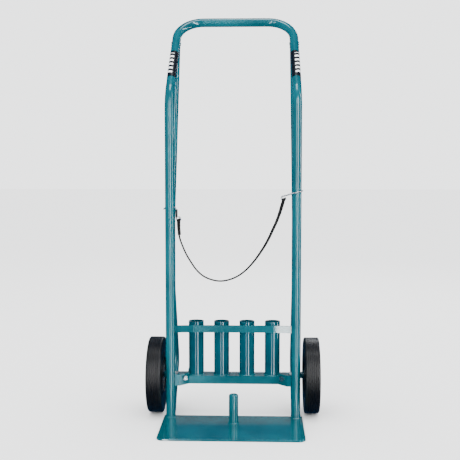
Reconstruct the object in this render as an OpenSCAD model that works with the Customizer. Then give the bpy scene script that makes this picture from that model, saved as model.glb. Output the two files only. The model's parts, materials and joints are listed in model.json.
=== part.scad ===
// Two-wheeled trolley for a demolition hammer, with a rack of four chisel tubes.
// Millimetres. +Z up, the toe plate points to -Y, the handle leans back to +Y.
// The origin is on the floor, under the middle of the whole trolley.

/* [Frame] */
// Outside diameter of the frame tubes
tube_d = 25.4; // [25:0.1:26]
// Wall thickness of the frame tubes
tube_wall = 2; // [1.5:0.5:3]
// Distance between the uprights, centre to centre
track = 348; // [346:1:352]
// Height at which the uprights bend into the handle
handle_bend_z = 890; // [880:2:900]
// Lean of the handle from the vertical, in degrees
handle_lean = 45.5; // [44:0.5:47]
// Length of the handle from that bend to its top bar
handle_len = 335.5; // [330:0.5:342]
// How far each side of the handle closes in by the top bar
handle_inset = 5; // [4:1:5]

/* [Toe plate] */
// Width of the toe plate
plate_w = 385; // [380:1:392]
// Reach of the toe plate in front of the uprights
plate_reach = 196; // [180:2:220]
// Thickness of the toe plate
plate_t = 5; // [4:0.5:6]
// Diameter of the locating peg
peg_d = 25.4; // [22:0.1:30]
// Height of the locating peg above the plate
peg_h = 80; // [60:1:90]

/* [Chisel rack] */
// Outside diameter of a chisel tube
chisel_tube_d = 42.4; // [41:0.1:43]
// Wall thickness of a chisel tube
chisel_tube_wall = 2.6; // [2:0.2:3.2]
// Length of a chisel tube
chisel_tube_len = 152; // [145:1:160]
// Distance between neighbouring chisel tubes
chisel_pitch = 71.5; // [70:0.5:72]

/* [Wheels] */
// Diameter of the tyres
wheel_d = 214; // [210:1:214]
// Width of the tyres
wheel_w = 42; // [40:1:42]
// Diameter of the axle
axle_d = 16; // [15:0.5:16]

/* [Hidden] */
$fn = 64;
half_track = track / 2;
tube_r = tube_d / 2;
gap = 0.2;

// A bent tube's straights stop this short of its bends, and a thinner sleeve
// inside the wall laps into each bend and joins them into one solid
joint_gap = 0.02;
joint_lap = 0.5;
joint_inset = 0.6;

// Handle: the bend radii and the place of the top bar
handle_bend_r = 90;
handle_corner_r = 75;
handle_top_x = half_track - handle_inset;
handle_top_y = handle_len * sin(handle_lean);
handle_top_z = handle_bend_z + handle_len * cos(handle_lean);
handle_side = [handle_top_x - half_track, handle_top_y, handle_top_z - handle_bend_z];

// Lengths along Y are from the uprights' middle plane, which stands here
upright_y = (plate_reach - handle_top_y - tube_r) / 2;

// Toe plate: its corners, its rear edge and the place of the peg
plate_corner_r = 18;
plate_back = 13;
peg_x = 3;
peg_y = -54;
peg_round_r = 5;

// Stays: each runs against the back of its upright between two heights
stay_y = tube_d + 0.6;
stay_low_z = 362;
stay_high_z = 560;
stay_top_share = 0.71;
stay_top = [half_track, 0, handle_bend_z] + stay_top_share * handle_side;
stay_rear = [half_track, 134, 138];
stay_foot = [half_track, 0, 0];
foot_cut = [60, 100, 40];

// Axle line and wheel centre
axle_r = axle_d / 2;
axle_y = 74;
axle_z = wheel_d / 2;
axle_hole_r = axle_r + 0.05;
wheel_x = 220.5;
hub_r = 15;
hub_half = 19;
bush_r = 11;
bush_len = 12;
spacer_r = 9.5;
web_t = 5;
web_low_z = 84;
web_high_z = 132;
web_back = 4;
washer_t = 1.4;
washer_r = 14;
pin_r = 1.6;
pin_head_r = 2;
pin_head_h = 3;
pin_len = 28;
pin_x = wheel_x + hub_half + gap + washer_t + 2.2;
axle_end_x = pin_x + 4.2;

// Rim and tyre
seat_r = 49;
flange_r = 60;
rim_half = 17;
sheet = 2;
rim_bolt_r = 34;
rim_bolts = 4;

// Rack: a bar in front of the tubes and a ledge beneath them
bar_t = 5;
bar_h = 19.6;
bar_z = 239.5;
bar_y = tube_r + gap;
bar_set = 6;
bar_bend_x = 112;
bar_end_x = half_track - tube_r;
row_x = 2;
row_y = bar_y + bar_set + bar_t + gap + chisel_tube_d / 2;
ledge_t = 4;
ledge_y = row_y - chisel_tube_d / 2 - 2;
ledge_back_y = axle_y - axle_r - 0.5;
ledge_z = 115.5;
face_low_z = 93;
wing_high_z = 124;
wing_in_x = 125;
wing_out_x = 149;
tab_y = -3;
tab_end_x = half_track - tube_r - gap;
ear_y = 31;

// Wing: its direction in plan, from the ledge's face out to the tab
wing_dir = unit([wing_out_x - wing_in_x, tab_y - ledge_y]);
wing_normal = [-wing_dir.y, wing_dir.x];
wing_mid = [wing_in_x, ledge_y] + ledge_t / 2 * wing_normal;
lug_len = 27;
lug_high_z = 122;
bolt_r = 4;
bolt_along = 16;
bolt_z = 112;
bolt_at = wing_mid + bolt_along * wing_dir;
bracket_low_z = 84;
bracket_slope = 32;
bracket_x = 126.5;
bracket_end_y = axle_y + 14;
leg_t = 4;
head_r = 7.5;
head_h = 5.3;
bolt_len = 20;
nut_h = 6.5;
ear_w = 34;

// Strap hooks: 4 mm wire round each upright, with an eye for the strap
wire_r = 2;
eye_r = 5.5;
eye_bend_r = eye_r - 0.3;
wrap = tube_r + wire_r + 1;
wrap_x = half_track + wrap;
hook_rise = 15;
right_eye = [137, -wrap, 616];
right_leg = 55;
left_eye = [-151, wrap, 557];
left_turn_z = 590;

// Strap: the middle of a flat band, hung from the right eye to the left eye
strap_w = 10;
strap_t = 4;
strap_twist = 60;
strap_twist_rings = 9;
strap_route = [
    [136, -15, 606], [132, -14, 594], [126, -12, 573], [118, -12, 551], [108, -11, 529],
    [98, -10, 507], [86, -10, 485], [72, -9, 463], [56, -8, 441], [36, -6, 419],
    [14, -5, 402], [-11, -3, 391], [-36, -2, 387], [-61, 0, 391], [-83, 1, 401],
    [-101, 3, 417], [-116, 4, 438], [-129, 4, 460], [-139, 5, 482], [-147, 6, 504],
    [-151, 9, 527], [-151, 13, 546]
];

SIDES = ["left", "right"];

teal = "#0B6F86";
dark_teal = "#0A4F63";
black = "#17181A";
zinc = "#B9BCBE";
bronze = "#9A7B4F";

// ---- Vector helpers ----

function unit(v) = v / norm(v);
function flip_x(p) = [-p.x, p.y, p.z];
function turn(a, b) = acos(max(-1, min(1, a * b)));

// Length of straight tube that a bend of radius r takes up at point i
function setback(path, radii, i) =
    i == 0 || i == len(path) - 1 ? 0
    : radii[i] * tan(turn(unit(path[i] - path[i - 1]), unit(path[i + 1] - path[i])) / 2);

// ---- Shape helpers ----

// A round bar from p to q, hollow where bore is over 0
module bar(p, q, d, bore = 0) {
    v = q - p;
    length = norm(v);
    translate(p) rotate([0, acos(v.z / length), atan2(v.y, v.x)])
        difference() {
            cylinder(h = length, d = d);
            if (bore > 0) translate([0, 0, -1]) cylinder(h = length + 2, d = bore);
        }
}

// A bend of radius r at point c, from direction a to direction b
module bend(c, a, b, r, d, bore = 0) {
    angle = turn(a, b);
    inward = unit(b - (a * b) * a);
    axis = unit(cross(a, b));
    centre = c - a * r * tan(angle / 2) + inward * r;
    multmatrix([
        [-inward.x, a.x, axis.x, centre.x],
        [-inward.y, a.y, axis.y, centre.y],
        [-inward.z, a.z, axis.z, centre.z],
        [0, 0, 0, 1]
    ])
        rotate_extrude(angle = angle) translate([r, 0]) difference() {
            circle(d = d);
            if (bore > 0) circle(d = bore);
        }
}

// A straight from p to q with its sleeve, which laps over at a bend (1) and stops short at a free end (0)
module straight(p, q, p_bend, q_bend, d, bore) {
    v = unit(q - p);
    sleeve_bore = bore > 0 ? bore + 2 * joint_inset : 0;
    bar(p + p_bend * joint_gap * v, q - q_bend * joint_gap * v, d, bore);
    bar(p + (1 - 2 * p_bend) * joint_lap * v, q - (1 - 2 * q_bend) * joint_lap * v,
        d - 2 * joint_inset, sleeve_bore);
}

// A tube bent along a path, with a bend radius for each inner point, drawn from point i on
module bent_tube(path, radii, d, bore = 0, i = 0) {
    last = len(path) - 1;
    v = unit(path[i + 1] - path[i]);
    straight(path[i] + v * setback(path, radii, i), path[i + 1] - v * setback(path, radii, i + 1),
        i > 0 ? 1 : 0, i < last - 1 ? 1 : 0, d, bore);
    if (i < last - 1) {
        bend(path[i + 1], v, unit(path[i + 2] - path[i + 1]), radii[i + 1], d, bore);
        bent_tube(path, radii, d, bore, i + 1);
    }
}

// Draws its children as they are on the right, mirrored on the left
module on_side(side) {
    if (side == "right") children();
    else mirror([1, 0, 0]) children();
}

module on_both_sides() {
    for (side = SIDES) on_side(side) children();
}

// Moves its children from the uprights' middle plane to the trolley's own frame
module placed() {
    translate([0, upright_y, 0]) children();
}

// Lays its children's +Z along +X at the axle's line
module along_axle(x) {
    translate([x, axle_y, axle_z]) rotate([0, 90, 0]) children();
}

module ring(outer_r, inner_r, length) {
    difference() {
        cylinder(r = outer_r, h = length);
        translate([0, 0, -1]) cylinder(r = inner_r, h = length + 2);
    }
}

// ---- Frame ----

function main_path() = [
    [half_track, 0, plate_t], [half_track, 0, handle_bend_z], [handle_top_x, handle_top_y, handle_top_z],
    [-handle_top_x, handle_top_y, handle_top_z], [-half_track, 0, handle_bend_z], [-half_track, 0, plate_t]
];

// Both uprights and the handle are one bent tube
module main_tube() {
    color(teal) placed()
    bent_tube(main_path(), [0, handle_bend_r, handle_corner_r, handle_corner_r, handle_bend_r, 0],
        tube_d, tube_d - 2 * tube_wall);
}

module stay_run(bore) {
    bent_tube([stay_top, [half_track, stay_y, stay_high_z], [half_track, stay_y, stay_low_z],
        stay_rear, stay_foot], [0, 120, 60, 45, 0], tube_d, bore);
}

// A stay braces the handle, follows the upright and bows back round the axle
module stay(side) {
    color(teal) placed() on_side(side)
    difference() {
        stay_run(tube_d - 2 * tube_wall);
        bar([half_track, 0, plate_t - 10], [half_track, 0, handle_bend_z / 2], tube_d + gap);
        bar([half_track, 0, handle_bend_z], [handle_top_x, handle_top_y, handle_top_z], tube_d + gap);
        translate([half_track - foot_cut.x / 2, -foot_cut.x / 2, plate_t + gap / 2 - foot_cut.z])
            cube(foot_cut);
    }
}

// ---- Toe plate ----

module toe_plate() {
    r = plate_corner_r;
    color(teal) placed()
    linear_extrude(plate_t) {
        translate([-plate_w / 2, r - plate_reach]) square([plate_w, plate_back + plate_reach - r]);
        translate([r - plate_w / 2, -plate_reach]) square([plate_w - 2 * r, r]);
        for (x = [-1, 1]) translate([x * (plate_w / 2 - r), r - plate_reach]) circle(r = r);
    }
}

// The peg's top edge is rounded
module locating_peg() {
    r = peg_round_r;
    color(teal) placed()
    translate([peg_x, peg_y, plate_t])
    rotate_extrude() {
        square([peg_d / 2, peg_h - r]);
        square([peg_d / 2 - r, peg_h]);
        intersection() {
            translate([peg_d / 2 - r, peg_h - r]) circle(r = r);
            square([peg_d, peg_h + r]);
        }
    }
}

// ---- Chisel rack ----

// A flat bar that steps back between the uprights
module rack_bar() {
    front = [[-half_track, bar_y], [-bar_end_x, bar_y], [-bar_bend_x, bar_y + bar_set],
        [bar_bend_x, bar_y + bar_set], [bar_end_x, bar_y], [half_track, bar_y]];
    back = [for (i = [len(front) - 1 : -1 : 0]) front[i] + [0, bar_t]];
    color(teal) placed()
    translate([0, 0, bar_z]) linear_extrude(bar_h) polygon(concat(front, back));
}

// Plan of a wing and its end tab, on the right
module wing_plan() {
    shift = ledge_t * wing_normal;
    slope = wing_dir.x / wing_dir.y;
    inner = [wing_in_x, ledge_y];
    outer = [wing_out_x, tab_y];
    inner_back = [inner.x + shift.x + slope * (ledge_t - shift.y), ledge_y + ledge_t];
    outer_back = [outer.x + shift.x + slope * (ledge_t - shift.y), tab_y + ledge_t];
    polygon([inner - [1, 0], inner, outer, [tab_end_x, tab_y], [tab_end_x, tab_y + ledge_t],
        outer_back, inner_back, [inner.x - 1, ledge_y + ledge_t]]);
}

// A folded angle: the ledge under the tubes, its front face, and a wing at each end
module rack_ledge() {
    color(teal) placed()
    difference() {
        union() {
            translate([-wing_in_x, ledge_y, face_low_z])
                cube([2 * wing_in_x, ledge_t, ledge_z - face_low_z]);
            translate([-wing_in_x, ledge_y, ledge_z - ledge_t])
                cube([2 * wing_in_x, ledge_back_y - ledge_y, ledge_t]);
            on_both_sides() {
                translate([0, 0, face_low_z]) linear_extrude(wing_high_z - face_low_z) wing_plan();
                translate([wing_in_x - 1, ear_y, ledge_z - ledge_t])
                    cube([ear_w, ledge_back_y - ear_y, ledge_t]);
            }
        }
        on_both_sides() at_bolt(-10) cylinder(r = bolt_r + gap, h = 20);
    }
}

module chisel_tube(i) {
    color(dark_teal) placed()
    translate([row_x + (i - 2.5) * chisel_pitch, row_y, ledge_z + 0.05])
        ring(chisel_tube_d / 2, chisel_tube_d / 2 - chisel_tube_wall, chisel_tube_len);
}

// ---- Axle mounts ----

// Puts +Z along the bolt's line, starting that far from the wing's middle
module at_bolt(along) {
    translate([bolt_at.x + along * wing_normal.x, bolt_at.y + along * wing_normal.y, bolt_z])
        rotate([0, 0, atan2(wing_normal.y, wing_normal.x)]) rotate([0, 90, 0]) children();
}

// The web fills the triangle between the upright and the stay and holds the axle
module axle_web(side) {
    color(teal) placed() on_side(side)
    difference() {
        translate([half_track - web_t / 2, 0, 0]) rotate([90, 0, 90]) linear_extrude(web_t)
            polygon([[0, web_low_z], [web_low_z - web_back, web_low_z], [web_high_z - web_back, web_high_z],
                [0, web_high_z]]);
        bar([half_track, 0, 0], [half_track, 0, 400], tube_d + gap);
        stay_clearance();
        along_axle(half_track - web_t) cylinder(r = axle_hole_r, h = 2 * web_t);
    }
}

module stay_clearance() {
    bent_tube([[half_track, stay_y, stay_low_z], stay_rear, stay_foot], [0, 45, 0], tube_d + gap);
}

// A folded plate: one leg bolts behind the wing, the other carries the axle
module axle_bracket(side) {
    start = wing_mid + (ledge_t / 2 + 0.1) * wing_normal;
    tip = start + lug_len * wing_dir;
    leg_y = ledge_y + ledge_t + gap;
    color(teal) placed() on_side(side)
    difference() {
        union() {
            translate([0, 0, face_low_z + 1]) linear_extrude(lug_high_z - face_low_z - 1)
                polygon([start, tip, tip + leg_t * wing_normal, start + leg_t * wing_normal]);
            translate([bracket_x, 0, 0]) rotate([90, 0, 90]) linear_extrude(leg_t)
                polygon([[leg_y, face_low_z], [leg_y + bracket_slope, bracket_low_z],
                    [bracket_end_y, bracket_low_z],
                    [bracket_end_y, lug_high_z], [ledge_back_y + 1, lug_high_z],
                    [ledge_back_y + 1, ledge_z - ledge_t - gap], [leg_y, ledge_z - ledge_t - gap]]);
        }
        at_bolt(-10) cylinder(r = bolt_r + gap, h = 30);
        along_axle(bracket_x - 5) cylinder(r = axle_hole_r, h = 15);
    }
}

// Hexagon head bolts through the wings and the brackets
module bracket_bolts() {
    color(zinc) placed()
    on_both_sides() {
        at_bolt(-ledge_t / 2 - head_h) cylinder(r = head_r, h = head_h, $fn = 6);
        at_bolt(-ledge_t / 2 - joint_lap) cylinder(r = bolt_r, h = bolt_len);
    }
}

module bracket_nuts() {
    color(zinc) placed()
    on_both_sides() at_bolt(ledge_t / 2 + leg_t + 0.3) difference() {
        cylinder(r = head_r, h = nut_h, $fn = 6);
        translate([0, 0, -1]) cylinder(r = bolt_r + 0.05, h = nut_h + 2);
    }
}

// ---- Axle ----

module axle() {
    color(zinc) placed()
    difference() {
        along_axle(-axle_end_x) cylinder(r = axle_r, h = 2 * axle_end_x);
        on_both_sides() translate([pin_x, axle_y, axle_z - 15]) cylinder(r = pin_r + 0.1, h = 30);
    }
}

// Spacers between the webs and the wheels
module axle_spacers() {
    start = half_track + web_t / 2 + 0.1;
    color(dark_teal) placed()
    on_both_sides() along_axle(start)
        ring(spacer_r, axle_hole_r, wheel_x - hub_half - gap - washer_t - 0.1 - start);
}

module axle_washers() {
    color(zinc) placed()
    on_both_sides() {
        along_axle(wheel_x - hub_half - gap - washer_t) ring(washer_r, axle_hole_r + 0.1, washer_t);
        along_axle(wheel_x + hub_half + gap) ring(washer_r, axle_hole_r + 0.1, washer_t);
    }
}

module split_pins() {
    color(zinc) placed()
    on_both_sides() translate([pin_x, axle_y, axle_z - pin_len / 2]) {
        cylinder(r = pin_r, h = pin_len - pin_head_h / 2);
        translate([0, 0, pin_len - pin_head_h]) cylinder(r = pin_head_r, h = pin_head_h);
    }
}

// ---- Wheels ----

// Draws its children, made about +Z with outside up, as a wheel on the given side
module as_wheel(side) {
    on_side(side) along_axle(wheel_x) children();
}

module tyre(side) {
    r = wheel_d / 2;
    half = wheel_w / 2;
    bead = rim_half - sheet - gap;
    shoulder = 5;
    color(black) placed() as_wheel(side)
    rotate_extrude($fn = 96) {
        translate([seat_r + gap, -bead]) square([flange_r + gap - seat_r, 2 * bead]);
        translate([flange_r + gap, -half + 2]) square([8, 2 * half - 4]);
        translate([flange_r + 2, -half]) square([r - shoulder - flange_r - 2, 2 * half]);
        translate([r - shoulder - 1, shoulder - half]) square([shoulder + 1, 2 * (half - shoulder)]);
        for (s = [-1, 1]) translate([r - shoulder, s * (half - shoulder)]) circle(r = shoulder);
    }
}

// One pressed half of the rim: web, bead seat and flange
module rim_half_disc(side, outward) {
    web_z = 0.1;
    color(zinc) placed() as_wheel(side) scale_z(outward)
    difference() {
        rotate_extrude($fn = 96) {
            translate([hub_r + 0.05, web_z]) square([seat_r - hub_r - 0.05, sheet]);
            translate([seat_r - sheet, web_z]) square([sheet, rim_half - web_z]);
            translate([seat_r - sheet, rim_half - sheet]) square([flange_r - seat_r + sheet, sheet]);
        }
        for (k = [0 : rim_bolts - 1]) rotate(k * 360 / rim_bolts) translate([rim_bolt_r, 0, -1])
            cylinder(r = 3.2, h = 6);
    }
}

module scale_z(outward) {
    if (outward) children();
    else mirror([0, 0, 1]) children();
}

module hub(side) {
    color(zinc) placed() as_wheel(side)
    translate([0, 0, -hub_half]) ring(hub_r, bush_r, 2 * hub_half);
}

module hub_bushes(side) {
    color(bronze) placed() as_wheel(side)
    for (z = [-hub_half, hub_half - bush_len])
        translate([0, 0, z]) ring(bush_r - 0.02, axle_hole_r, bush_len);
}

// Hexagon bolts that hold the two rim halves together, with their nuts
module rim_bolt_set(side) {
    head_h = 4;
    color(zinc) placed() as_wheel(side)
    for (k = [0 : rim_bolts - 1]) rotate(k * 360 / rim_bolts) translate([rim_bolt_r, 0, 0]) {
        translate([0, 0, sheet + 0.1]) cylinder(r = 5.8, h = head_h, $fn = 6);
        translate([0, 0, -9]) cylinder(r = 3, h = 12);
        translate([0, 0, -sheet - 0.1 - head_h - 1]) cylinder(r = 5.8, h = head_h + 1, $fn = 6);
    }
}

// ---- Strap and hooks ----

// Direction of the strap at ring i
function strap_dir(i) =
    unit(strap_route[min(i + 1, len(strap_route) - 1)] - strap_route[max(i - 1, 0)]);

// The band starts twisted at the right hook and hangs edge on after some rings
function strap_roll(i) = strap_twist * max(0, 1 - i / strap_twist_rings);

// Eight points round the flat band's section at ring i
function strap_ring(i) =
    let (along = strap_dir(i), across = unit([0, 1, 0] - along.y * along), flat = cross(along, across),
        wide = cos(strap_roll(i)) * across + sin(strap_roll(i)) * flat, thin = cross(along, wide))
    [for (k = [0 : 7]) strap_route[i] + wide * strap_w / 2 * [1, 0.8, -0.8, -1, -1, -0.8, 0.8, 1][k]
        + thin * strap_t / 2 * [0.6, 1, 1, 0.6, -0.6, -1, -1, -0.6][k]];

module strap() {
    rings = len(strap_route);
    points = [for (i = [0 : rings - 1]) each strap_ring(i)];
    walls = [for (i = [0 : rings - 2], k = [0 : 7])
        let (a = 8 * i + k, b = 8 * i + (k + 1) % 8) each [[a, b, b + 8], [a, b + 8, a + 8]]];
    ends = [for (k = [1 : 6]) each [[0, k + 1, k], [8 * rings - 8, 8 * rings - 8 + k, 8 * rings - 7 + k]]];
    color(black) placed() polyhedron(points = points, faces = concat(walls, ends));
}

// Wire path round an eye at c, from its far side to the leg that leaves along u
function eye_path(c, u, n) = [
    c + eye_r * u + n, c + eye_r * (u - n), c - eye_r * (u + n), c + eye_r * (n - u)
];

// The right hook crosses in front of its upright and turns back behind it
module right_hook() {
    u = [cos(hook_rise), 0, sin(hook_rise)];
    n = [-sin(hook_rise), 0, cos(hook_rise)];
    corner = right_eye + eye_r * n + right_leg * u;
    back = [corner.x, wrap, corner.z];
    color(zinc) placed()
    bent_tube(concat(eye_path(right_eye, u, n), [corner, back, back - 36 * u]),
        [0, eye_bend_r, eye_bend_r, eye_bend_r, wrap - 0.3, wrap - 0.3, 0], 2 * wire_r);
}

// The left hook passes behind its upright and ends at its outer side
module left_hook() {
    n = [-1, 0, 0];
    corner = [left_eye.x - eye_r, wrap, left_turn_z];
    back = [-wrap_x, wrap, left_turn_z - 3];
    color(zinc) placed()
    bent_tube(concat(eye_path(left_eye, [0, 0, 1], n), [corner, back, [-wrap_x, -6, left_turn_z - 5]]),
        [0, eye_bend_r, eye_bend_r, eye_bend_r, 8, 12, 0], 2 * wire_r);
}

// ---- One line for each node ----

main_tube();
stay("left");  // left_stay
stay("right");  // right_stay
toe_plate();
locating_peg();
rack_bar();
rack_ledge();
chisel_tube(1);  // chisel_tube_1
chisel_tube(2);  // chisel_tube_2
chisel_tube(3);  // chisel_tube_3
chisel_tube(4);  // chisel_tube_4
axle_web("left");  // left_axle_web
axle_web("right");  // right_axle_web
axle_bracket("left");  // left_axle_bracket
axle_bracket("right");  // right_axle_bracket
bracket_bolts();
bracket_nuts();
axle();
axle_spacers();
axle_washers();
split_pins();
tyre("left");  // left_tyre
tyre("right");  // right_tyre
rim_half_disc("left", false);  // left_inner_rim
rim_half_disc("right", false);  // right_inner_rim
rim_half_disc("left", true);  // left_outer_rim
rim_half_disc("right", true);  // right_outer_rim
hub("left");  // left_hub
hub("right");  // right_hub
hub_bushes("left");  // left_hub_bushes
hub_bushes("right");  // right_hub_bushes
rim_bolt_set("left");  // left_rim_bolts
rim_bolt_set("right");  // right_rim_bolts
strap();
left_hook();
right_hook();
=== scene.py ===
"""Looks of a demolition hammer trolley, built round its CAD frame."""
import json
import math

import bpy
from mathutils import Matrix, Vector


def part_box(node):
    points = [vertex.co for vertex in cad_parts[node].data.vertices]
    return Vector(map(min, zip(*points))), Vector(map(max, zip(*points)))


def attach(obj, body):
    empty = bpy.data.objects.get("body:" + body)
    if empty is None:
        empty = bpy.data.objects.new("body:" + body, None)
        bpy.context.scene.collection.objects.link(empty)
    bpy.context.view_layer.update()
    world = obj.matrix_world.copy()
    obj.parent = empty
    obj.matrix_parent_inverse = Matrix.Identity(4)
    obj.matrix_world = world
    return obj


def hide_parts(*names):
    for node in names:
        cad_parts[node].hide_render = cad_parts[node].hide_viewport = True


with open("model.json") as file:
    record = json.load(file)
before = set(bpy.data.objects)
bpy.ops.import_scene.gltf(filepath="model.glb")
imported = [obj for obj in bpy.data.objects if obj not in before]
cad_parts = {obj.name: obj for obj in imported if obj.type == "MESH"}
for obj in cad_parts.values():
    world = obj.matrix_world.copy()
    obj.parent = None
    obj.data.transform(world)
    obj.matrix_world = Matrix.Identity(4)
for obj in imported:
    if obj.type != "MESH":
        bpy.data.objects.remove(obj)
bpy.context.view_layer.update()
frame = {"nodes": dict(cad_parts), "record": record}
MM = 0.001

# ---- Places of the trolley's own parts ----

SIDES = {"left": -1, "right": 1}
TUBE_R = 12.7 * MM
UPRIGHT_X = 174 * MM
UPRIGHT_Y = -28 * MM
PLATE_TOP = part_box("toe_plate")[1].z
AXLE = Vector((0, 46 * MM, 107 * MM))
WHEEL_X = 220.5 * MM
WHEEL_R = (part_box("right_tyre")[1].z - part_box("right_tyre")[0].z) / 2
HANDLE_START = Vector((UPRIGHT_X, UPRIGHT_Y, 890 * MM))
HANDLE_END = Vector((169 * MM, 211.3 * MM, 1125.2 * MM))
HANDLE_DIRECTION = (HANDLE_END - HANDLE_START).normalized()


def on_side(way, vector):
    """A place or direction of the right side, moved to the side that this way (-1 or 1) stands for."""
    return Vector((way * vector.x, vector.y, vector.z))


def square_to(vector, axis):
    """The part of a vector that is square to an axis, at length 1."""
    return (vector - vector.dot(axis) * axis).normalized()


# ---- Camera ----

CAMERA_PLACE = (0.07307, UPRIGHT_Y - 2.3195, 0.7135)
CAMERA_TURN = 2.015
CAMERA_DIP = 4.574
LENS_MM, SENSOR_MM = 66.52, 36


def make_camera():
    data = bpy.data.cameras.new("camera")
    data.lens = LENS_MM
    data.sensor_width = SENSOR_MM
    camera = bpy.data.objects.new("camera", data)
    camera.location = CAMERA_PLACE
    camera.rotation_euler = (math.radians(90 - CAMERA_DIP), 0, math.radians(CAMERA_TURN))
    bpy.context.scene.collection.objects.link(camera)
    bpy.context.scene.camera = camera


# ---- Materials ----

def linear(hex_colour):
    """An sRGB hex value as the linear colour that a shader takes."""
    parts = [int(hex_colour[i:i + 2], 16) / 255 for i in (1, 3, 5)]
    return [c / 12.92 if c <= 0.04045 else ((c + 0.055) / 1.055) ** 2.4 for c in parts] + [1]


def grey(level):
    return [level, level, level, 1]


def add(tree, kind, inputs=None, stops=(), **settings):
    """Adds a node. An input takes a value, a socket, or a node whose first output it is linked to.
    The stops of a colour ramp are pairs of a position and a colour."""
    made = tree.nodes.new(kind)
    for name, value in settings.items():
        setattr(made, name, value)
    for name, value in (inputs or {}).items():
        if isinstance(value, bpy.types.Node):
            value = value.outputs[0]
        if isinstance(value, bpy.types.NodeSocket):
            tree.links.new(value, made.inputs[name])
        else:
            made.inputs[name].default_value = value
    for k, (position, colour) in enumerate(stops):
        made.color_ramp.elements[k].position = position
        made.color_ramp.elements[k].color = colour
    return made


def new_material(name, shade, *settings):
    """Makes a material whose surface is the shader node that shade(tree, *settings) gives back."""
    material = bpy.data.materials.new(name)
    material.use_nodes = True
    tree = material.node_tree
    tree.nodes.clear()
    add(tree, "ShaderNodeOutputMaterial", {"Surface": shade(tree, *settings)})
    return material


def petrol_enamel(tree, deep, bright):
    """Stove enamel on steel: a clear wet gloss with faint orange peel over slightly metallic petrol blue."""
    place = add(tree, "ShaderNodeTexCoord").outputs["Object"]
    cloud = add(tree, "ShaderNodeTexNoise", {"Vector": place, "Scale": 1 / (90 * MM), "Detail": 3})
    peel = add(tree, "ShaderNodeTexNoise", {"Vector": place, "Scale": 1 / (5 * MM), "Detail": 1})
    haze = add(tree, "ShaderNodeTexNoise", {"Vector": place, "Scale": 1 / (12 * MM), "Detail": 4})
    colour = add(tree, "ShaderNodeValToRGB", {"Fac": cloud},
        stops=((0.25, linear(deep)), (0.75, linear(bright))))
    rough = add(tree, "ShaderNodeValToRGB", {"Fac": haze}, stops=((0.3, grey(0.2)), (0.7, grey(0.27))))
    normal = add(tree, "ShaderNodeBump", {"Height": peel, "Distance": 0.02 * MM, "Strength": 0.08})
    return add(tree, "ShaderNodeBsdfPrincipled", {"Base Color": colour, "Metallic": 0.25, "Roughness": rough,
        "Normal": normal, "Specular IOR Level": 0.3, "Coat Weight": 0.9, "Coat Roughness": 0.04})


def zinc_plate(tree):
    """Bright zinc on steel: silvery, with a cloudy spangle and a fine grain."""
    place = add(tree, "ShaderNodeTexCoord").outputs["Object"]
    spangle = add(tree, "ShaderNodeTexNoise", {"Vector": place, "Scale": 1 / (5 * MM), "Detail": 3})
    cloud = add(tree, "ShaderNodeTexNoise", {"Vector": place, "Scale": 1 / (1.6 * MM), "Detail": 2})
    grain = add(tree, "ShaderNodeTexNoise", {"Vector": place, "Scale": 1 / (0.8 * MM), "Detail": 1})
    colour = add(tree, "ShaderNodeValToRGB", {"Fac": spangle},
        stops=((0.3, linear("#A9ADB0")), (0.7, linear("#D3D6D8"))))
    rough = add(tree, "ShaderNodeValToRGB", {"Fac": cloud}, stops=((0.3, grey(0.24)), (0.7, grey(0.38))))
    normal = add(tree, "ShaderNodeBump", {"Height": grain, "Distance": 0.01 * MM, "Strength": 0.3})
    return add(tree, "ShaderNodeBsdfPrincipled", {"Base Color": colour, "Metallic": 1.0, "Roughness": rough,
        "Normal": normal})


def sintered_bronze(tree):
    """Oil-soaked sintered bronze: warm, dull and finely grained."""
    place = add(tree, "ShaderNodeTexCoord").outputs["Object"]
    grain = add(tree, "ShaderNodeTexNoise", {"Vector": place, "Scale": 1 / (0.5 * MM), "Detail": 2})
    colour = add(tree, "ShaderNodeValToRGB", {"Fac": grain},
        stops=((0.3, linear("#6F5630")), (0.7, linear("#A8854C"))))
    normal = add(tree, "ShaderNodeBump", {"Height": grain, "Distance": 0.02 * MM, "Strength": 0.4})
    return add(tree, "ShaderNodeBsdfPrincipled", {"Base Color": colour, "Metallic": 1.0, "Roughness": 0.45,
        "Normal": normal})


def tyre_rubber(tree):
    """Moulded black rubber: satin, a little greyer and rougher where it is scuffed."""
    place = add(tree, "ShaderNodeTexCoord").outputs["Object"]
    scuff = add(tree, "ShaderNodeTexNoise", {"Vector": place, "Scale": 1 / (22 * MM), "Detail": 6,
        "Roughness": 0.65})
    skin = add(tree, "ShaderNodeTexNoise", {"Vector": place, "Scale": 1 / (0.7 * MM), "Detail": 2})
    colour = add(tree, "ShaderNodeValToRGB", {"Fac": scuff},
        stops=((0.4, linear("#070708")), (0.8, linear("#101012"))))
    rough = add(tree, "ShaderNodeValToRGB", {"Fac": scuff}, stops=((0.3, grey(0.34)), (0.7, grey(0.55))))
    normal = add(tree, "ShaderNodeBump", {"Height": skin, "Distance": 0.03 * MM, "Strength": 0.5})
    return add(tree, "ShaderNodeBsdfPrincipled", {"Base Color": colour, "Roughness": rough, "Normal": normal,
        "Specular IOR Level": 0.5})


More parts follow.
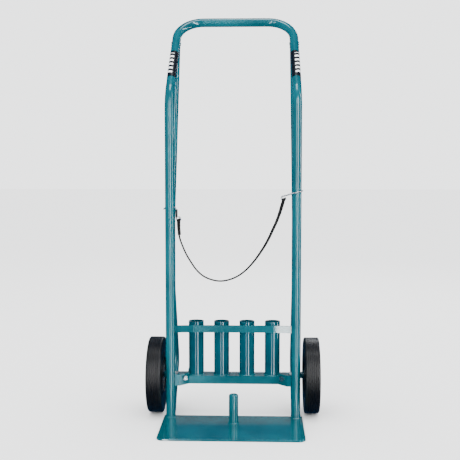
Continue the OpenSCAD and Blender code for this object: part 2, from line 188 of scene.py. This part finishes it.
def elastic_webbing(tree):
    """Woven elastic: black ribs run across the band, and threads lie along it."""
    place = add(tree, "ShaderNodeUVMap", uv_map="along")
    rib, thread = 1.6 * MM, 0.9 * MM
    ribs = add(tree, "ShaderNodeTexWave", {"Vector": place, "Scale": 0.1 / rib * math.pi, "Distortion": 0.6,
        "Detail": 1.0}, bands_direction="X")
    threads = add(tree, "ShaderNodeTexWave", {"Vector": place, "Scale": 0.1 / thread * math.pi,
        "Distortion": 0.3}, bands_direction="Y")
    weave = add(tree, "ShaderNodeMath", {0: ribs.outputs["Fac"], 1: threads.outputs["Fac"]},
        operation="MULTIPLY")
    colour = add(tree, "ShaderNodeValToRGB", {"Fac": weave},
        stops=((0.1, linear("#030304")), (0.9, linear("#0C0C0E"))))
    normal = add(tree, "ShaderNodeBump", {"Height": weave, "Distance": 0.25 * MM, "Strength": 0.7})
    return add(tree, "ShaderNodeBsdfPrincipled", {"Base Color": colour, "Roughness": 0.75, "Normal": normal,
        "Specular IOR Level": 0.25, "Sheen Weight": 0.08, "Sheen Roughness": 0.5})


OUTER_FRONT = Vector((0.5, -0.62, 0.6))
LABEL_FACING = square_to(OUTER_FRONT, HANDLE_DIRECTION)
LABEL_START = HANDLE_START + 74 * MM * HANDLE_DIRECTION
LABEL_LENGTH = 112 * MM
LABEL_MARGIN = 8 * MM
BAR_PITCH = 17 * MM
BAR_SHARE = 0.45
BAR_SLANT = 0.5
BAR_HALF_HEIGHT = 0.62 * TUBE_R


def label_vinyl(tree):
    """Printed vinyl: a black band with plain white slanted bars along the handle's side."""
    place = add(tree, "ShaderNodeTexCoord").outputs["Object"]
    # X without its sign gives both sides the same bars
    split = add(tree, "ShaderNodeSeparateXYZ", {0: place})
    sideways = add(tree, "ShaderNodeMath", {0: split.outputs["X"]}, operation="ABSOLUTE")
    folded = add(tree, "ShaderNodeCombineXYZ", {"X": sideways, "Y": split.outputs["Y"],
        "Z": split.outputs["Z"]})
    from_start = add(tree, "ShaderNodeVectorMath", {0: folded, 1: LABEL_START}, operation="SUBTRACT")
    along, around, outwards = (add(tree, "ShaderNodeVectorMath", {0: from_start, 1: direction},
        operation="DOT_PRODUCT").outputs["Value"]
        for direction in (HANDLE_DIRECTION, LABEL_FACING.cross(HANDLE_DIRECTION), LABEL_FACING))
    lean = add(tree, "ShaderNodeMath", {0: around, 1: BAR_SLANT}, operation="MULTIPLY")
    slanted = add(tree, "ShaderNodeMath", {0: along, 1: lean}, operation="ADD")
    pitches = add(tree, "ShaderNodeMath", {0: slanted, 1: BAR_PITCH}, operation="DIVIDE")
    share = add(tree, "ShaderNodeMath", {0: pitches}, operation="FRACT")
    height = add(tree, "ShaderNodeMath", {0: around}, operation="ABSOLUTE")
    # A place is white only if it passes all of these
    white = 1.0
    for test, value, limit in (
        ("LESS_THAN", share, BAR_SHARE),
        ("LESS_THAN", height, BAR_HALF_HEIGHT),
        ("GREATER_THAN", outwards, 0.0),
        ("GREATER_THAN", slanted, LABEL_MARGIN),
        ("LESS_THAN", slanted, LABEL_LENGTH - LABEL_MARGIN),
    ):
        passed = add(tree, "ShaderNodeMath", {0: value, 1: limit}, operation=test)
        white = add(tree, "ShaderNodeMath", {0: white, 1: passed}, operation="MULTIPLY")
    scuff = add(tree, "ShaderNodeTexNoise", {"Vector": place, "Scale": 1 / (9 * MM), "Detail": 4})
    colour = add(tree, "ShaderNodeValToRGB", {"Fac": white},
        stops=((0.45, linear("#08090B")), (0.55, linear("#EEF0F0"))))
    rough = add(tree, "ShaderNodeValToRGB", {"Fac": scuff}, stops=((0.3, grey(0.22)), (0.7, grey(0.4))))
    return add(tree, "ShaderNodeBsdfPrincipled", {"Base Color": colour, "Roughness": rough,
        "Coat Weight": 0.3, "Coat Roughness": 0.1})


def painted_shade_sleeve(tree):
    """Painted shade on the left hook's wire: a black sleeve, satin with a slightly uneven skin, stands for
    the wire's shadow and dark reflection.
    """
    place = add(tree, "ShaderNodeTexCoord").outputs["Object"]
    skin = add(tree, "ShaderNodeTexNoise", {"Vector": place, "Scale": 1 / (1.5 * MM), "Detail": 2})
    colour = add(tree, "ShaderNodeValToRGB", {"Fac": skin},
        stops=((0.3, linear("#08080A")), (0.7, linear("#151518"))))
    normal = add(tree, "ShaderNodeBump", {"Height": skin, "Distance": 0.05 * MM, "Strength": 0.5})
    return add(tree, "ShaderNodeBsdfPrincipled", {"Base Color": colour, "Roughness": 0.42, "Normal": normal})


def stitch_thread(tree):
    """Waxed black thread, a little lighter than the band that it holds."""
    place = add(tree, "ShaderNodeTexCoord").outputs["Object"]
    ply = add(tree, "ShaderNodeTexNoise", {"Vector": place, "Scale": 1 / (0.4 * MM), "Detail": 1})
    colour = add(tree, "ShaderNodeValToRGB", {"Fac": ply},
        stops=((0.3, linear("#1C1C20")), (0.7, linear("#34343A"))))
    return add(tree, "ShaderNodeBsdfPrincipled", {"Base Color": colour, "Roughness": 0.6})


def matt_paint(tree, hex_colour, roughness):
    """Dead flat studio paint without any shine."""
    return add(tree, "ShaderNodeBsdfPrincipled", {"Base Color": linear(hex_colour), "Roughness": roughness,
        "Specular IOR Level": 0.0})


def soft_box(tree, strength):
    """The even glow of a soft box, for streaks and patches in the gloss."""
    return add(tree, "ShaderNodeEmission", {"Color": linear("#FFFFFF"), "Strength": strength})


enamel = new_material("petrol_enamel", petrol_enamel, "#02454F", "#04616C")
deep_enamel = new_material("deep_petrol_enamel", petrol_enamel, "#023846", "#045462")
zinc = new_material("zinc_plate", zinc_plate)
bronze = new_material("sintered_bronze", sintered_bronze)
rubber = new_material("tyre_rubber", tyre_rubber)
webbing = new_material("elastic_webbing", elastic_webbing)
vinyl = new_material("label_vinyl", label_vinyl)
# This black material paints the shadow and dark reflection on the left hook's wire
shade_paint = new_material("painted_shade_sleeve", painted_shade_sleeve)
thread = new_material("stitch_thread", stitch_thread)

FINISHES = {"frame_enamel": enamel, "tube_enamel": deep_enamel, "zinc_steel": zinc, "bush_bronze": bronze,
    "solid_tyre": rubber, "elastic_strap": webbing}


def paint_frame():
    """Gives each CAD node the material of its slot."""
    for row in frame["record"]["subparts"]:
        mesh = frame["nodes"][row["node"]].data
        mesh.materials.clear()
        mesh.materials.append(FINISHES[row["material_slot"]])


# ---- Shaping helpers ----

def deselect():
    bpy.ops.object.select_all(action="DESELECT")


def choose(piece):
    """Makes the piece the only one that an operator acts on."""
    deselect()
    piece.select_set(True)
    bpy.context.view_layer.objects.active = piece


def name_last(name, material):
    piece = bpy.context.object
    piece.name = name
    piece.data.materials.clear()
    piece.data.materials.append(material)
    return piece


def apply_place(piece):
    """Puts the piece's place, turn and size into its mesh."""
    choose(piece)
    bpy.ops.object.transform_apply(location=True, rotation=True, scale=True)


def settle(piece, body="frame"):
    """Finishes a piece: its place is in its mesh and it rides on its body."""
    apply_place(piece)
    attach(piece, body)


def smooth(piece, degrees=35):
    choose(piece)
    bpy.ops.object.shade_smooth_by_angle(angle=math.radians(degrees))


def bevel_all(piece, width, segments, degrees=30):
    """Rounds every sharp edge with a modifier and applies it."""
    choose(piece)
    rounding = piece.modifiers.new("rounding", "BEVEL")
    rounding.width = width
    rounding.segments = segments
    rounding.limit_method = "ANGLE"
    rounding.angle_limit = math.radians(degrees)
    bpy.ops.object.modifier_apply(modifier="rounding")


def even_normals(piece):
    """Keeps large faces flat beside their rounded edges."""
    choose(piece)
    piece.modifiers.new("even", "WEIGHTED_NORMAL")
    bpy.ops.object.modifier_apply(modifier="even")


def face_outwards(piece):
    choose(piece)
    bpy.ops.object.mode_set(mode="EDIT")
    bpy.ops.mesh.select_all(action="SELECT")
    bpy.ops.mesh.normals_make_consistent(inside=False)
    bpy.ops.object.mode_set(mode="OBJECT")


def pick(piece, test):
    """In edit mode, selects the vertices that pass a test."""
    bpy.ops.mesh.select_mode(type="VERT")
    bpy.ops.mesh.select_all(action="DESELECT")
    bpy.ops.object.mode_set(mode="OBJECT")
    for vertex in piece.data.vertices:
        vertex.select = test(vertex.co)
    bpy.ops.object.mode_set(mode="EDIT")


def turned_to(direction):
    """The rotation that turns +Z to a direction."""
    return direction.to_track_quat("Z", "Y").to_euler()


# ---- Strap ----

# The route's points repeat those of the CAD strap, in millimetres from the uprights' middle plane
STRAP_ROUTE = [
    (136, -15, 606), (132, -14, 594), (126, -12, 573), (118, -12, 551), (108, -11, 529),
    (98, -10, 507), (86, -10, 485), (72, -9, 463), (56, -8, 441), (36, -6, 419),
    (14, -5, 402), (-11, -3, 391), (-36, -2, 387), (-61, 0, 391), (-83, 1, 401),
    (-101, 3, 417), (-116, 4, 438), (-129, 4, 460), (-139, 5, 482), (-147, 6, 504),
    (-151, 9, 527), (-151, 13, 546),
]
STRAP_W, STRAP_T = 10 * MM, 3.8 * MM
# The band starts turned by START_TWIST degrees, and has settled to REST_TWIST at this point of its route
START_TWIST, REST_TWIST, SETTLED_POINT = 60, 16, 9

# The folded end's route: what each point is counted from, then millimetres along the band and out from it
FOLD_ROUTE = [
    ("band", 34, 3.4), ("band", 22, 3.6), ("band", 8, 4.62), ("eye", 0, 4.41), ("eye", -4, 2.4),
    ("eye", -5.2, 0), ("eye", -4, -2.4), ("eye", 0, -3.99), ("band", 3, -2.2), ("band", 10, -1.2),
]
FOLD_W, FOLD_T = STRAP_W * 0.96, 2.4 * MM
RIGHT_EYE_LOW = Vector((137, -43.7, 610.5)) * MM
LEFT_EYE_LOW = Vector((-151, -12.3, 551.5)) * MM
RIGHT_FOLD_TURN, LEFT_FOLD_TURN = 62, 75
STITCH_R, STITCH_LENGTH, STITCH_OUT = 0.45 * MM, 7 * MM, 4.9 * MM
FIRST_STITCH, STITCH_PITCH, STITCH_ROWS = 24 * MM, 4 * MM, 3

# The black sleeve round the left hook's wire is painted shade: it stands for the wire's shadow and dark
# reflection
SHADE_SLEEVE_MIDDLE = Vector((-156.5, -12.3, 572)) * MM
SHADE_SLEEVE_R, SHADE_SLEEVE_LENGTH, SHADE_SLEEVE_EDGE = 3.1 * MM, 22 * MM, 0.8 * MM


def strap_points():
    return [Vector((x * MM, y * MM + UPRIGHT_Y, z * MM)) for x, y, z in STRAP_ROUTE]


def smooth_path(points, between):
    """A Catmull-Rom curve through the points, with this many steps between neighbours."""
    ends = [points[0] * 2 - points[1], *points, points[-1] * 2 - points[-2]]
    path = []
    for a, b, c, d in zip(ends, ends[1:], ends[2:], ends[3:]):
        for k in range(between):
            t = k / between
            path.append(0.5 * (2 * b + (c - a) * t + (2 * a - 5 * b + 4 * c - d) * t * t
                + (3 * b - a - 3 * c + d) * t ** 3))
    return path + [points[-1]]


def flat_section(width, thick, corner_steps=3):
    """Points round a band's section, with round edges."""
    r = thick / 2
    points = []
    for side in (1, -1):
        for k in range(-corner_steps, corner_steps + 1):
            angle = math.pi / 2 * k / corner_steps
            points.append((side * (width / 2 - r + r * math.cos(angle)), side * r * math.sin(angle)))
    return points


def band(name, path, width, thick, roll):
    """A flat band swept along a path. Its UV map has metres along the band and round it."""
    section = flat_section(width, thick)
    count = len(section)
    girth = 2 * (width + thick)
    vertices, faces, uvs = [], [], []
    travelled = [0.0]
    for a, b in zip(path, path[1:]):
        travelled.append(travelled[-1] + (b - a).length)
    for i, centre in enumerate(path):
        along = (path[min(i + 1, len(path) - 1)] - path[max(i - 1, 0)]).normalized()
        across = square_to(Vector((0, 1, 0)), along)
        wide = Matrix.Rotation(roll(i / (len(path) - 1)), 3, along) @ across
        thin = along.cross(wide)
        vertices += [centre + wide * u + thin * v for u, v in section]
    for i in range(len(path) - 1):
        for k in range(count):
            n = (k + 1) % count
            faces.append((i * count + k, i * count + n, (i + 1) * count + n, (i + 1) * count + k))
            u0, u1 = travelled[i], travelled[i + 1]
            v0, v1 = k / count * girth, (k + 1) / count * girth
            uvs += [(u0, v0), (u0, v1), (u1, v1), (u1, v0)]
    last = (len(path) - 1) * count
    faces += [tuple(range(count))[::-1], tuple(range(last, last + count))]
    uvs += [(0, k / count * girth) for k in range(count)][::-1]
    uvs += [(travelled[-1], k / count * girth) for k in range(count)]
    mesh = bpy.data.meshes.new(name)
    mesh.from_pydata(vertices, [], faces)
    layer = mesh.uv_layers.new(name="along")
    for loop, uv in zip(layer.data, uvs):
        loop.uv = uv
    mesh.materials.append(webbing)
    for face in mesh.polygons:
        face.use_smooth = len(face.vertices) == 4
    piece = bpy.data.objects.new(name, mesh)
    bpy.context.scene.collection.objects.link(piece)
    face_outwards(piece)
    return piece


def make_fold(side, eye_low, near, far, turn):
    """The band's end goes up through the eye, over the wire and back down, where it is stitched."""
    away = (far - near).normalized()
    out = square_to(Vector((0, -1, 0)), away)
    origins = {"band": near, "eye": eye_low}
    ply = [origins[origin] + away * a * MM + out * b * MM for origin, a, b in FOLD_ROUTE]
    fold = band(f"{side}_strap_fold", smooth_path(ply, 4), FOLD_W, FOLD_T, lambda share: math.radians(turn))
    settle(fold)
    for row in range(STITCH_ROWS):
        place = near + away * (FIRST_STITCH + STITCH_PITCH * row) + out * STITCH_OUT
        deselect()
        bpy.ops.mesh.primitive_cylinder_add(vertices=10, radius=STITCH_R, depth=STITCH_LENGTH,
            location=place, rotation=turned_to(away.cross(out)))
        stitch = name_last(f"{side}_stitch_{row + 1}", thread)
        smooth(stitch)
        settle(stitch)
    return fold


def make_folds():
    route = strap_points()
    return [make_fold("right", RIGHT_EYE_LOW, route[0], route[2], RIGHT_FOLD_TURN),
        make_fold("left", LEFT_EYE_LOW, route[-1], route[-3], LEFT_FOLD_TURN)]


def make_strap(folds):
    path = smooth_path(strap_points(), 6)

    def roll(share):
        point = share * (len(STRAP_ROUTE) - 1)
        return math.radians(REST_TWIST + (START_TWIST - REST_TWIST) * max(0, 1 - point / SETTLED_POINT))

    strap = band("elastic_strap", path, STRAP_W, STRAP_T, roll)
    settle(strap)
    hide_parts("strap")


def make_shade_sleeve():
    """A black sleeve on the left hook's upright leg: painted shade that stands for the wire's shadow and
    dark reflection there.
    """
    deselect()
    bpy.ops.mesh.primitive_cylinder_add(vertices=24, radius=SHADE_SLEEVE_R, depth=SHADE_SLEEVE_LENGTH,
        location=SHADE_SLEEVE_MIDDLE)
    shade_sleeve = name_last("left_hook_shade_sleeve", shade_paint)
    apply_place(shade_sleeve)
    bevel_all(shade_sleeve, SHADE_SLEEVE_EDGE, 3)
    smooth(shade_sleeve)
    settle(shade_sleeve)


# ---- Tyres ----

TYRE_W = 42 * MM
TYRE_SEAT_R = 49 * MM
SHOULDER_R = 4.5 * MM
TREAD_GROOVES = 6
PLAIN_TREAD = 11 * MM
GROOVE_DEPTH, HALF_GROOVE_TOP, HALF_GROOVE_FLOOR = 1.6 * MM, 1.1 * MM, 0.6 * MM
WALL_LOW_R, WALL_HIGH_R, WALL_STEP = 64 * MM, 92 * MM, 1.6 * MM
SPIN_STEPS = 120
NEAR = 0.05 * MM


def make_tyre(side):
    """A section of the tyre is cut into strips, its grooves are sunk, and it is spun round the axle."""
    centre = AXLE + Vector((SIDES[side] * WHEEL_X, 0, 0))
    height = WHEEL_R - TYRE_SEAT_R
    top = centre.z + WHEEL_R
    wall_low, wall_high = centre.z + WALL_LOW_R, centre.z + WALL_HIGH_R
    pitch = (TYRE_W - PLAIN_TREAD) / TREAD_GROOVES
    grooves = [centre.x + (k - (TREAD_GROOVES - 1) / 2) * pitch for k in range(TREAD_GROOVES)]

    deselect()
    bpy.ops.mesh.primitive_plane_add(size=1, location=centre + Vector((0, 0, TYRE_SEAT_R + height / 2)),
        rotation=(math.pi / 2, 0, 0))
    tyre = name_last(f"{side}_ribbed_tyre", rubber)
    tyre.scale = (TYRE_W, height, 1)
    apply_place(tyre)
    bpy.ops.object.mode_set(mode="EDIT")
    for x in grooves:
        for edge in (-HALF_GROOVE_TOP, -HALF_GROOVE_FLOOR, HALF_GROOVE_FLOOR, HALF_GROOVE_TOP):
            bpy.ops.mesh.select_all(action="SELECT")
            bpy.ops.mesh.bisect(plane_co=(x + edge, 0, 0), plane_no=(1, 0, 0))
    for z in (wall_low - WALL_STEP, wall_low, wall_high, wall_high + WALL_STEP):
        bpy.ops.mesh.select_all(action="SELECT")
        bpy.ops.mesh.bisect(plane_co=(0, 0, z), plane_no=(0, 0, 1))

    pick(tyre, lambda co: co.z > top - NEAR
        and any(abs(co.x - x) < HALF_GROOVE_FLOOR + NEAR for x in grooves))
    bpy.ops.transform.translate(value=(0, 0, -GROOVE_DEPTH))
    for way in (-1, 1):
        wall_x = centre.x + way * TYRE_W / 2
        pick(tyre, lambda co: abs(co.x - wall_x) < NEAR and wall_low - NEAR < co.z < wall_high + NEAR)
        bpy.ops.transform.translate(value=(-way * WALL_STEP, 0, 0))

    bpy.ops.mesh.select_all(action="SELECT")
    bpy.ops.mesh.dissolve_faces()
    bpy.ops.mesh.delete(type="ONLY_FACE")
    pick(tyre, lambda co: co.z > top - NEAR and abs(abs(co.x - centre.x) - TYRE_W / 2) < NEAR)
    bpy.ops.mesh.bevel(offset=SHOULDER_R, segments=4, affect="VERTICES")
    bpy.ops.mesh.select_all(action="SELECT")
    bpy.ops.mesh.spin(steps=SPIN_STEPS, angle=2 * math.pi, center=centre, axis=(1, 0, 0))
    bpy.ops.mesh.select_all(action="SELECT")
    bpy.ops.mesh.remove_doubles(threshold=0.01 * MM)
    bpy.ops.mesh.normals_make_consistent(inside=False)
    bpy.ops.object.mode_set(mode="OBJECT")
    smooth(tyre, 28)
    settle(tyre, f"{side}_wheel")
    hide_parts(f"{side}_tyre")


# ---- Toe plate ----

PLATE_CORNER_R = 18 * MM
PLATE_EDGE_R = 0.9 * MM


def make_toe_plate():
    """The plate with its two round front corners and a softly broken edge all round."""
    low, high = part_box("toe_plate")
    deselect()
    bpy.ops.mesh.primitive_cube_add(size=1, location=(Vector(low) + Vector(high)) / 2)
    plate = name_last("soft_edged_toe_plate", enamel)
    plate.scale = Vector(high) - Vector(low)
    apply_place(plate)
    bpy.ops.object.mode_set(mode="EDIT")
    bpy.ops.mesh.select_all(action="DESELECT")
    bpy.ops.mesh.select_mode(type="EDGE")
    bpy.ops.object.mode_set(mode="OBJECT")
    for edge in plate.data.edges:
        a, b = (plate.data.vertices[i].co for i in edge.vertices)
        edge.select = max(a.y, b.y) < low[1] + MM and abs(a.z - b.z) > MM
    bpy.ops.object.mode_set(mode="EDIT")
    bpy.ops.mesh.bevel(offset=PLATE_CORNER_R, segments=12, affect="EDGES")
    bpy.ops.object.mode_set(mode="OBJECT")
    bevel_all(plate, PLATE_EDGE_R, 3, 40)
    smooth(plate)
    even_normals(plate)
    settle(plate)
    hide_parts("toe_plate")


# ---- Weld beads ----

BEAD_R, BEAD_STEP = 2.9 * MM, 2.9 * MM
BEAD_FLATNESS, BEAD_UNEVENNESS, BEAD_WAVE = 0.62, 0.08, 2.4
SADDLE_LENGTHENING = 1.3
SADDLE_LEAN = 0.6

PEG_FOOT, PEG_BEAD_R = Vector((3 * MM, -82 * MM, PLATE_TOP + 1.2 * MM)), 13.6 * MM
UPRIGHT_FOOT, UPRIGHT_BEAD_R = Vector((UPRIGHT_X, UPRIGHT_Y, PLATE_TOP + 0.8 * MM)), 13.4 * MM
STAY_TOP, STAY_TOP_RUN = Vector((UPRIGHT_X, -2 * MM, 560 * MM)), Vector((-3.5 * MM, 143.9 * MM, 497 * MM))
STAY_FOOT, STAY_FOOT_RUN = Vector((UPRIGHT_X, 106 * MM, 138 * MM)), Vector((0, -134, -138))
BAR_END_LOW = Vector((165 * MM, -17 * MM, 241 * MM))
BAR_END_HIGH = Vector((165 * MM, -17 * MM, 258 * MM))
CHISEL_ROW = Vector((2 * MM, 17.3 * MM, 116.2 * MM))
CHISEL_PITCH, CHISEL_BEAD_R = 71.5 * MM, 21.8 * MM


def weld_bead(name, places, facing):
    """A row of flattened, overlapping drops at these places, in one mesh. Drop k looks to facing(k)."""
    deselect()
    for k, place in enumerate(places):
        squeeze = (1.0, 1.0, BEAD_FLATNESS + BEAD_UNEVENNESS * math.sin(BEAD_WAVE * k))
        bpy.ops.mesh.primitive_uv_sphere_add(segments=10, ring_count=6, radius=BEAD_R, location=place,
            rotation=turned_to(facing(k)), scale=squeeze)
        if k == 0:
            bead = name_last(name, enamel)
            apply_place(bead)
            bpy.ops.object.mode_set(mode="EDIT")
    bpy.ops.object.mode_set(mode="OBJECT")
    smooth(bead, 60)
    settle(bead)


def circle_weld(name, centre, radius):
    """A bead round the foot of an upright tube or peg."""
    count = round(2 * math.pi * radius / BEAD_STEP)
    angles = [2 * math.pi * k / count for k in range(count)]
    places = [centre + radius * Vector((math.cos(a), math.sin(a), 0)) for a in angles]
    weld_bead(name, places, lambda k: Vector((math.cos(angles[k]), math.sin(angles[k]), 1)))


def line_weld(name, start, end, facing):
    """A straight bead in a corner that looks this way."""
    count = max(2, round((end - start).length / BEAD_STEP) + 1)
    weld_bead(name, [start.lerp(end, k / (count - 1)) for k in range(count)], lambda k: facing)


def saddle_weld(name, foot, along, other_foot, other_along):
    """A bead where a tube that runs from foot along a direction meets another tube's wall.
    Drops that would sink into the toe plate are left out."""
    side = along.cross(other_along).normalized()
    up = side.cross(along).normalized()
    run = along - along.dot(other_along) * other_along
    count = round(2 * math.pi * TUBE_R / BEAD_STEP * SADDLE_LENGTHENING)
    places, facings = [], []
    for k in range(count):
        angle = 2 * math.pi * k / count
        spread = math.cos(angle) * up + math.sin(angle) * side
        start = foot + TUBE_R * spread
        across = (start - other_foot) - (start - other_foot).dot(other_along) * other_along
        a, b, c = run.dot(run), across.dot(run), across.dot(across) - TUBE_R ** 2
        root = max(0.0, b * b - a * c)
        meets = start + (-b - math.sqrt(root)) / a * along
        if meets.z > PLATE_TOP + BEAD_R:
            places.append(meets)
            facings.append(spread - SADDLE_LEAN * along)
    weld_bead(name, places, lambda k: facings[k])


def make_welds():
    circle_weld("peg_weld", PEG_FOOT, PEG_BEAD_R)
    for side, way in SIDES.items():
        circle_weld(f"{side}_upright_weld", on_side(way, UPRIGHT_FOOT), UPRIGHT_BEAD_R)
        saddle_weld(f"{side}_stay_top_weld", on_side(way, STAY_TOP), on_side(way, STAY_TOP_RUN).normalized(),
            on_side(way, HANDLE_START), on_side(way, HANDLE_DIRECTION))
        saddle_weld(f"{side}_stay_foot_weld", on_side(way, STAY_FOOT), STAY_FOOT_RUN.normalized(),
            Vector((way * UPRIGHT_X, UPRIGHT_Y, 0)), Vector((0, 0, 1)))
        line_weld(f"{side}_rack_bar_weld", on_side(way, BAR_END_LOW), on_side(way, BAR_END_HIGH),
            Vector((-way, -1, 0)))
    for number in (1, 2, 3, 4):
        middle = CHISEL_ROW + Vector(((number - 2.5) * CHISEL_PITCH, 0, 0))
        circle_weld(f"chisel_tube_{number}_weld", middle, CHISEL_BEAD_R)


# ---- Labels ----

LABEL_GAP, LABEL_T = 0.25 * MM, 0.1 * MM
LABEL_WRAP = 4 * MM


def make_label(side):
    """A thin band wrapped round the outer and front part of the handle's side."""
    way = SIDES[side]
    axis, facing = on_side(way, HANDLE_DIRECTION), on_side(way, LABEL_FACING)
    middle = on_side(way, LABEL_START) + axis * LABEL_LENGTH / 2
    deselect()
    bpy.ops.mesh.primitive_cylinder_add(vertices=64, radius=TUBE_R + LABEL_GAP, depth=LABEL_LENGTH,
        end_fill_type="NOTHING", location=middle, rotation=turned_to(axis))
    label = name_last(f"{side}_label", vinyl)
    apply_place(label)
    bpy.ops.object.mode_set(mode="EDIT")
    bpy.ops.mesh.select_all(action="SELECT")
    bpy.ops.mesh.bisect(plane_co=middle - facing * LABEL_WRAP, plane_no=facing, clear_inner=True)
    bpy.ops.object.mode_set(mode="OBJECT")
    wall = label.modifiers.new("wall", "SOLIDIFY")
    wall.thickness = LABEL_T
    wall.offset = 1
    bpy.ops.object.modifier_apply(modifier="wall")
    smooth(label)
    settle(label)


# ---- Split pins ----

PIN_X = 243.3 * MM
PIN_WIRE_R = 1.0 * MM
PIN_LEG_R = 0.9 * MM
PIN_EYE_R = 3.4 * MM
PIN_KNEE_DROP = 9.5 * MM
PIN_LEG_SPREADS = {"top": 0.9 * MM, "knee": 1.0 * MM, "tip": 6.5 * MM}
PIN_TOP_OVERLAP, PIN_TIP_RISE = 0.4 * MM, 1.2 * MM


def make_split_pins():
    """Each pin is drawn from one wire: a round eye on top, and two legs that part at their ends."""
    low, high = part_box("split_pins")
    joined = []
    for side, way in SIDES.items():
        x = way * PIN_X
        eye = Vector((x, AXLE.y, high[2] - PIN_EYE_R - PIN_WIRE_R))
        deselect()
        bpy.ops.mesh.primitive_torus_add(major_radius=PIN_EYE_R, minor_radius=PIN_WIRE_R, major_segments=28,
            minor_segments=10, location=eye, rotation=(0, math.pi / 2, 0))
        joined.append(name_last(f"{side}_split_pin", zinc))
        for leg in (-1, 1):
            top = Vector((x, eye.y + leg * PIN_LEG_SPREADS["top"], eye.z - PIN_EYE_R + PIN_TOP_OVERLAP))
            knee = Vector((x, AXLE.y + leg * PIN_LEG_SPREADS["knee"], AXLE.z - PIN_KNEE_DROP))
            tip = Vector((x, AXLE.y + leg * PIN_LEG_SPREADS["tip"], low[2] + PIN_TIP_RISE))
            for a, b in ((top, knee), (knee, tip)):
                bpy.ops.mesh.primitive_cylinder_add(vertices=12, radius=PIN_LEG_R,
                    depth=(b - a).length + PIN_WIRE_R, location=(a + b) / 2, rotation=turned_to(b - a))
                joined.append(name_last(f"{side}_pin_leg", zinc))
    deselect()
    for piece in joined:
        piece.select_set(True)
    bpy.context.view_layer.objects.active = joined[0]
    bpy.ops.object.join()
    pins = bpy.context.object
    pins.name = "bent_split_pins"
    smooth(pins, 50)
    settle(pins)
    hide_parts("split_pins")


# ---- Studio ----

STUDIO_Z = 1.2
STUDIO_HALF = 3.6
ROOM_BOARD = 7.4
LIT_MIDDLE = Vector((0, 0, 0.55))
WORLD_STRENGTH = 2.8
STREAK_GLOW, WIDE_GLOW, REAR_GLOW = 34, 0.3, 0.28
# A board this near to the studio's middle height stands upright, and any other leans towards the middle
UPRIGHT_WITHIN = 1.5


def make_floor():
    bpy.ops.mesh.primitive_plane_add(size=40, location=(0, 0, 0))
    floor = bpy.context.object
    floor.name = "floor"
    floor.data.materials.append(new_material("pale_floor", matt_paint, "#F4F4F4", 0.95))
    floor.visible_glossy = False


def area_light(name, place, width, height, power):
    data = bpy.data.lights.new(name, "AREA")
    data.shape = "RECTANGLE"
    data.size = width
    data.size_y = height
    data.energy = power
    light = bpy.data.objects.new(name, data)
    light.location = place
    light.rotation_euler = (LIT_MIDDLE - Vector(place)).to_track_quat("-Z", "Y").to_euler()
    light.visible_camera = False
    bpy.context.scene.collection.objects.link(light)


def board(name, place, width, height, material):
    """A board that only reflections see. It faces the middle of the studio."""
    middle = Vector((0, 0, place[2] if abs(place[2] - STUDIO_Z) < UPRIGHT_WITHIN else STUDIO_Z))
    deselect()
    bpy.ops.mesh.primitive_plane_add(size=1, location=place, rotation=turned_to(middle - Vector(place)))
    made = bpy.context.object
    made.name = name
    made.scale = (width, height, 1)
    made.data.materials.append(material)
    made.visible_camera = made.visible_diffuse = made.visible_shadow = False


def make_world():
    world = bpy.data.worlds.new("studio")
    bpy.context.scene.world = world
    world.use_nodes = True
    background = world.node_tree.nodes["Background"]
    background.inputs["Color"].default_value = linear("#FCFDFE")
    background.inputs["Strength"].default_value = WORLD_STRENGTH


def make_lights():
    """Four soft lights, a dark blue room for the gloss to mirror, and soft boxes for its streaks."""
    area_light("key", (-1.2, -2.7, 1.5), 0.16, 2.4, 15)
    area_light("fill", (1.0, -2.8, 1.3), 0.1, 2.4, 11)
    area_light("top", (0, -0.3, 3.0), 1.2, 0.8, 22)
    area_light("back", (0.6, 2.6, 2.2), 1.4, 0.7, 22)
    navy = new_material("navy_board", matt_paint, "#0B2C4A", 1.0)
    for name, place in (
        ("left", (-STUDIO_HALF, 0, STUDIO_Z)), ("right", (STUDIO_HALF, 0, STUDIO_Z)),
        ("front", (0, -STUDIO_HALF, STUDIO_Z)), ("back", (0, STUDIO_HALF, STUDIO_Z)),
        ("top", (0, 0, STUDIO_Z + STUDIO_HALF)), ("bottom", (0, 0, STUDIO_Z - STUDIO_HALF)),
    ):
        board(f"{name}_board", place, ROOM_BOARD, ROOM_BOARD, navy)
    streak = new_material("narrow_soft_box", soft_box, STREAK_GLOW)
    wide = new_material("wide_soft_box", soft_box, WIDE_GLOW)
    rear = new_material("rear_soft_box", soft_box, REAR_GLOW)
    board("streak_box", (1.45, -2.9, STUDIO_Z), 0.24, 5.6, streak)
    board("left_streak_box", (-0.55, -3.2, STUDIO_Z), 0.1, 5.6, streak)
    board("centre_box", (-0.5, -3.3, STUDIO_Z), 0.9, 3.2, wide)
    board("right_box", (3.2, -0.3, STUDIO_Z), 0.16, 5.6, streak)
    board("left_box", (-3.2, 0.4, STUDIO_Z), 0.9, 3.0, wide)
    board("rear_low_box", (-0.1, 3.4, 0.9), 1.6, 0.4, rear)
    board("rear_box", (-1.6, 3.2, STUDIO_Z), 0.5, 3.0, wide)


paint_frame()
make_camera()
make_strap(make_folds())
make_shade_sleeve()
make_tyre("left")
make_tyre("right")
make_toe_plate()
make_welds()
make_label("left")
make_label("right")
make_split_pins()
make_floor()
make_world()
make_lights()
